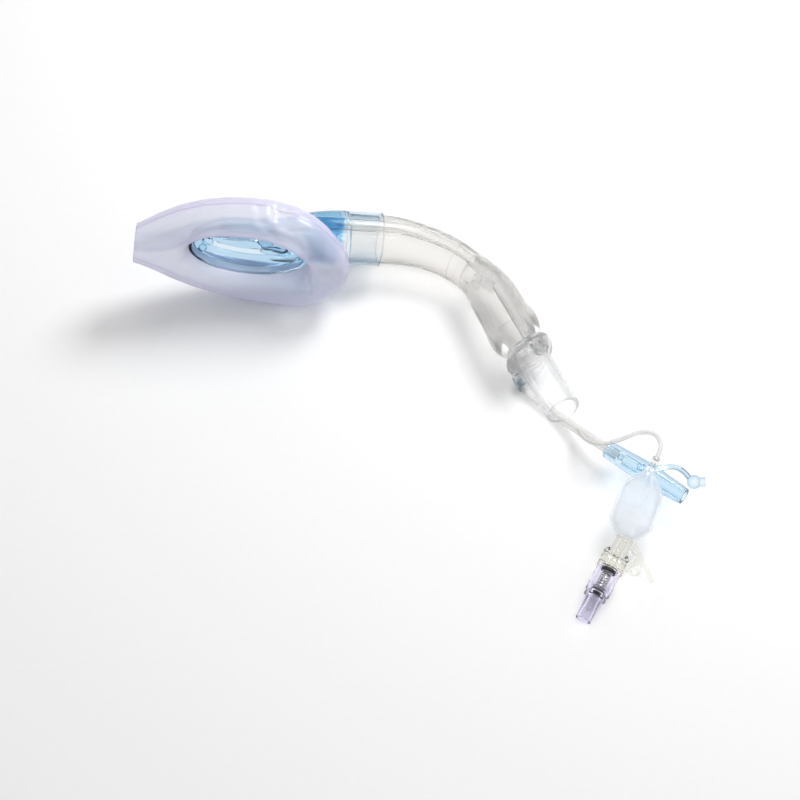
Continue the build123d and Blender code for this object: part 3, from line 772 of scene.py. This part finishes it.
def see_through(
    name,
    face,
    edge,
    face_alpha=1.0,
    edge_alpha=1.0,
    rough=0.2,
    haze_amount=0.3,
    scale=90.0,
    blend=0.35,
    grain_height=0.05,
    ior=1.45,
    coat=0.0,
    glass=False,
    shade=1.0,
):
    """Plastic whose tint and cover grow where it is seen edge on.

    With shade under 1 it covers less in shadow rays, so its shadow is paler.
    """
    material = bpy.data.materials.new(name)
    material.use_nodes = True
    tree = material.node_tree
    shader = tree.nodes["Principled BSDF"]
    shader.inputs["IOR"].default_value = ior
    shader.inputs["Coat Weight"].default_value = coat
    shader.inputs["Coat Roughness"].default_value = COAT_ROUGHNESS
    shader.inputs["Transmission Weight"].default_value = 1.0 if glass else 0.0
    place = add(tree, "ShaderNodeTexCoord")
    facing = add(tree, "ShaderNodeLayerWeight")
    facing.inputs["Blend"].default_value = blend
    effect = add(tree, "ShaderNodeGroup", node_tree=plastic_group)
    effect.inputs["Face colour"].default_value = (*face, 1)
    effect.inputs["Edge colour"].default_value = (*edge, 1)
    effect.inputs["Face alpha"].default_value = face_alpha
    effect.inputs["Edge alpha"].default_value = edge_alpha
    effect.inputs["Haze"].default_value = haze_amount
    effect.inputs["Roughness"].default_value = rough
    effect.inputs["Scale"].default_value = scale
    grain_bump = add(tree, "ShaderNodeBump")
    grain_bump.inputs["Strength"].default_value = grain_height
    grain_bump.inputs["Distance"].default_value = GRAIN_HEIGHT
    link = tree.links.new
    link(place.outputs["Object"], effect.inputs["Vector"])
    link(facing.outputs["Facing"], effect.inputs["Facing"])
    link(effect.outputs["Color"], shader.inputs["Base Color"])
    link(effect.outputs["Roughness"], shader.inputs["Roughness"])
    link(effect.outputs["Height"], grain_bump.inputs["Height"])
    link(grain_bump.outputs["Normal"], shader.inputs["Normal"])
    if shade < 1.0:
        ray = add(tree, "ShaderNodeLightPath")
        lighter = add(tree, "ShaderNodeMath", operation="MULTIPLY_ADD")
        lighter.inputs[1].default_value = shade - 1.0
        lighter.inputs[2].default_value = 1.0
        cover = add(tree, "ShaderNodeMath", operation="MULTIPLY")
        link(ray.outputs["Is Shadow Ray"], lighter.inputs[0])
        link(lighter.outputs[0], cover.inputs[0])
        link(effect.outputs["Alpha"], cover.inputs[1])
        link(cover.outputs[0], shader.inputs["Alpha"])
    else:
        link(effect.outputs["Alpha"], shader.inputs["Alpha"])
    return material


# %% The finishes
# Face colour and edge colour, then face cover and edge cover where they aren't full
finishes = {
    "cuff_film": see_through(
        "frosted lavender film", (0.84, 0.86, 0.985), (0.60, 0.53, 0.78), 0.46, 0.88,
        rough=0.34, haze_amount=0.16, scale=60, coat=0.5, grain_height=0.08, shade=0.7,
    ),
    "blue_elastomer": see_through(
        "clear blue elastomer", (0.70, 0.86, 0.96), (0.26, 0.54, 0.80),
        rough=0.04, haze_amount=0.10, scale=120, coat=0.2, ior=1.22, glass=True, shade=0.4,
    ),
    "clear_blue_tube": see_through(
        "clear blue drain", (0.70, 0.78, 0.92), (0.50, 0.58, 0.80), 0.10, 0.40, rough=0.25,
    ),
    "clear_tube": see_through(
        "clear warm tube", (0.93, 0.92, 0.905), (0.62, 0.60, 0.57), 0.74, 0.94,
        rough=0.04, haze_amount=0.06, scale=60, blend=0.45, ior=1.23, glass=True, shade=0.45,
    ),
    "clear_rigid": see_through(
        "clear hard plastic", (0.98, 0.985, 0.99), (0.84, 0.86, 0.88), 0.52, 0.82,
        rough=0.01, haze_amount=0.02, scale=60, ior=1.24, glass=True, shade=0.35,
    ),
    "grey_blue_rigid": see_through(
        "grey blue ferrule", (0.72, 0.79, 0.85), (0.34, 0.40, 0.47),
        rough=0.12, haze_amount=0.1, ior=1.35, glass=True, shade=0.3,
    ),
    "blue_rigid": see_through(
        "blue fitting", (0.82, 0.92, 0.975), (0.08, 0.34, 0.62),
        rough=0.03, haze_amount=0.05, scale=150, ior=1.26, glass=True, shade=0.25, blend=0.5,
    ),
    "yellowish_clear": see_through(
        "yellowish collar", (0.98, 0.975, 0.94), (0.72, 0.68, 0.54),
        rough=0.04, haze_amount=0.08, scale=150, ior=1.22, glass=True, shade=0.25,
    ),
    "balloon_film": see_through(
        "grey blue balloon film", (0.84, 0.89, 0.95), (0.80, 0.84, 0.90), 0.34, 0.80,
        rough=0.16, haze_amount=0.15, scale=120, coat=1.0, shade=0.5,
    ),
    "violet_clear": see_through(
        "violet valve", (0.98, 0.975, 0.998), (0.62, 0.54, 0.92),
        rough=0.02, haze_amount=0.05, scale=150, ior=1.19, glass=True, shade=0.25,
    ),
    "limp_tube": see_through(
        "limp clear line", (0.84, 0.83, 0.81), (0.60, 0.58, 0.55), 0.22, 0.86,
        rough=0.18, haze_amount=0.15, scale=200, coat=0.4, shade=0.6,
    ),
    # The lighter edge colour of the black rubber is a painted sheen where it is seen edge on
    "black_rubber": see_through(
        "black rubber", (0.015, 0.015, 0.018), (0.05, 0.05, 0.055), rough=0.5,
        haze_amount=0.3, scale=300,
    ),
    # The lighter edge colour of the steel is a painted reflection where the wire is seen edge
    # on
    "spring_steel": see_through(
        "spring steel", (0.55, 0.55, 0.57), (0.75, 0.75, 0.77), rough=0.25,
        haze_amount=0.2, scale=400,
    ),
}

# %% The weld of the cuff is seen as a fine darker line
WELD_TINT = 0.95
film = finishes["cuff_film"].node_tree
film_effect = next(n for n in film.nodes if n.type == "GROUP")
weld = add(film, "ShaderNodeAttribute", attribute_name="weld")
weld_step = add(film, "ShaderNodeMath", operation="MULTIPLY")
weld_step.inputs[1].default_value = WELD_TINT
face_on = next(n for n in film.nodes if n.type == "LAYER_WEIGHT")
weld_sum = add(film, "ShaderNodeMath", operation="ADD", use_clamp=True)
film.links.new(weld.outputs["Fac"], weld_step.inputs[0])
film.links.new(face_on.outputs["Facing"], weld_sum.inputs[0])
film.links.new(weld_step.outputs[0], weld_sum.inputs[1])
film.links.new(weld_sum.outputs[0], film_effect.inputs["Facing"])

# %% The backplate is deep blue at the neck and pale in the socket
ZONES_FROM = -30.0
ZONES_LENGTH = 90.0
# u and face colour
NECK_ZONES = [
    (-30.0, (0.78, 0.88, 0.94)),
    (24.0, (0.74, 0.86, 0.93)),
    (33.0, (0.24, 0.49, 0.70)),
    (42.0, (0.32, 0.56, 0.75)),
    (43.6, (0.95, 0.97, 0.98)),
    (60.0, (0.96, 0.975, 0.98)),
]
blue = finishes["blue_elastomer"].node_tree
blue_effect = next(n for n in blue.nodes if n.type == "GROUP")
blue_place = next(n for n in blue.nodes if n.type == "TEX_COORD")
along_u = add(blue, "ShaderNodeVectorMath", operation="DOT_PRODUCT")
along_u.inputs[1].default_value = leaning_u / (ZONES_LENGTH * MM)
from_tip = add(blue, "ShaderNodeMath", operation="SUBTRACT", use_clamp=True)
zones_start = MASK_ORIGIN.dot(leaning_u) + ZONES_FROM * MM
from_tip.inputs[1].default_value = zones_start / (ZONES_LENGTH * MM)
zones = add(blue, "ShaderNodeValToRGB")
while len(zones.color_ramp.elements) < len(NECK_ZONES):
    zones.color_ramp.elements.new(0.5)
for element, (u, colour) in zip(zones.color_ramp.elements, NECK_ZONES):
    element.position = (u - ZONES_FROM) / ZONES_LENGTH
    element.color = (*colour, 1)
blue.links.new(blue_place.outputs["Object"], along_u.inputs[0])
blue.links.new(along_u.outputs["Value"], from_tip.inputs[0])
blue.links.new(from_tip.outputs[0], zones.inputs["Fac"])
blue.links.new(zones.outputs["Color"], blue_effect.inputs["Face colour"])
print("zones", len(zones.color_ramp.elements))

# %% Metal
steel = finishes["spring_steel"].node_tree.nodes["Principled BSDF"]
steel.inputs["Metallic"].default_value = 1.0
print("finishes", len(finishes))

# %% Give the CAD nodes and the new pieces their finishes
slot_of = {s["node"]: s["material_slot"] for s in frame["record"]["subparts"]}
for node_name, node in frame["nodes"].items():
    finish = finishes[slot_of[node_name]]
    if not node.material_slots:
        node.data.materials.append(finish)
    for slot in node.material_slots:
        slot.material = finish
for piece, finish in (
    (cuff_film, "cuff_film"),
    (balloon_film, "balloon_film"),
    (return_spring, "spring_steel"),
    (side_tube, "limp_tube"),
    (inflation_line, "limp_tube"),
    (side_bore, "limp_tube"),
    (line_bore, "limp_tube"),
    *((piece, "blue_elastomer") for piece in bowl_pieces),
    *((piece, "clear_tube") for piece in joint_pieces),
):
    piece.data.materials.append(finishes[finish])

# %% [markdown]
# ## Table and light
# The photograph is a bright packshot: white ground, one big soft light from the back
# right and an even pale surround. The surround is a little darker near the horizon, so
# that the clear walls pick up grey streaks and do not vanish.

# %% Floor
FLOOR_HALF = 1.5
floor_bm = bmesh.new()
bmesh.ops.create_grid(floor_bm, x_segments=1, y_segments=1, size=FLOOR_HALF)
floor_mesh = bpy.data.meshes.new("floor")
floor_bm.to_mesh(floor_mesh)
floor_bm.free()
floor = bpy.data.objects.new("floor", floor_mesh)
bpy.context.scene.collection.objects.link(floor)
paper = bpy.data.materials.new("white paper")
paper.use_nodes = True
paper_shader = paper.node_tree.nodes["Principled BSDF"]
paper_shader.inputs["Roughness"].default_value = 0.9
paper_shader.inputs["Specular IOR Level"].default_value = 0.1
paper_grain = add(paper.node_tree, "ShaderNodeTexNoise")
paper_grain.inputs["Scale"].default_value = 900.0
paper_ramp = add(paper.node_tree, "ShaderNodeValToRGB")
paper_ramp.color_ramp.elements[0].color = (0.93, 0.93, 0.93, 1)
paper_ramp.color_ramp.elements[1].color = (0.96, 0.96, 0.96, 1)
paper.node_tree.links.new(paper_grain.outputs["Fac"], paper_ramp.inputs["Fac"])
paper.node_tree.links.new(paper_ramp.outputs["Color"], paper_shader.inputs["Base Color"])
floor.data.materials.append(paper)

# %% Lights
LIGHT_TURN = radians(45)
LIGHT_HEIGHT = radians(50)
LIGHT_AWAY = 0.95
level = cos(LIGHT_HEIGHT)
light_from = Vector((level * cos(LIGHT_TURN), level * sin(LIGHT_TURN), sin(LIGHT_HEIGHT)))
key_data = bpy.data.lights.new("key", "AREA")
key_data.shape = "DISK"
key_data.size = 0.42
key_data.energy = 7.2
key = bpy.data.objects.new("key", key_data)
key.location = light_from * LIGHT_AWAY
key.rotation_euler = (-light_from).to_track_quat("-Z", "Y").to_euler()
bpy.context.scene.collection.objects.link(key)
world = bpy.data.worlds.new("studio")
bpy.context.scene.world = world
world.use_nodes = True
sky = world.node_tree
direction = add(sky, "ShaderNodeTexCoord")
split = add(sky, "ShaderNodeSeparateXYZ")
height_ramp = add(sky, "ShaderNodeValToRGB")
height_ramp.color_ramp.elements[0].position = 0.0
height_ramp.color_ramp.elements[0].color = (0.46, 0.47, 0.49, 1)
height_ramp.color_ramp.elements[1].position = 0.55
height_ramp.color_ramp.elements[1].color = (1.0, 1.0, 1.0, 1)
sky.links.new(direction.outputs["Generated"], split.inputs[0])
sky.links.new(split.outputs["Z"], height_ramp.inputs["Fac"])
sky.links.new(height_ramp.outputs["Color"], sky.nodes["Background"].inputs["Color"])
sky.nodes["Background"].inputs["Strength"].default_value = 0.54

# %% View
LIGHT_BOUNCES = 24
scene = bpy.context.scene
scene.view_settings.view_transform = "Standard"
scene.view_settings.look = "None"
scene.cycles.transparent_max_bounces = 40
scene.cycles.max_bounces = LIGHT_BOUNCES
scene.cycles.transmission_bounces = LIGHT_BOUNCES
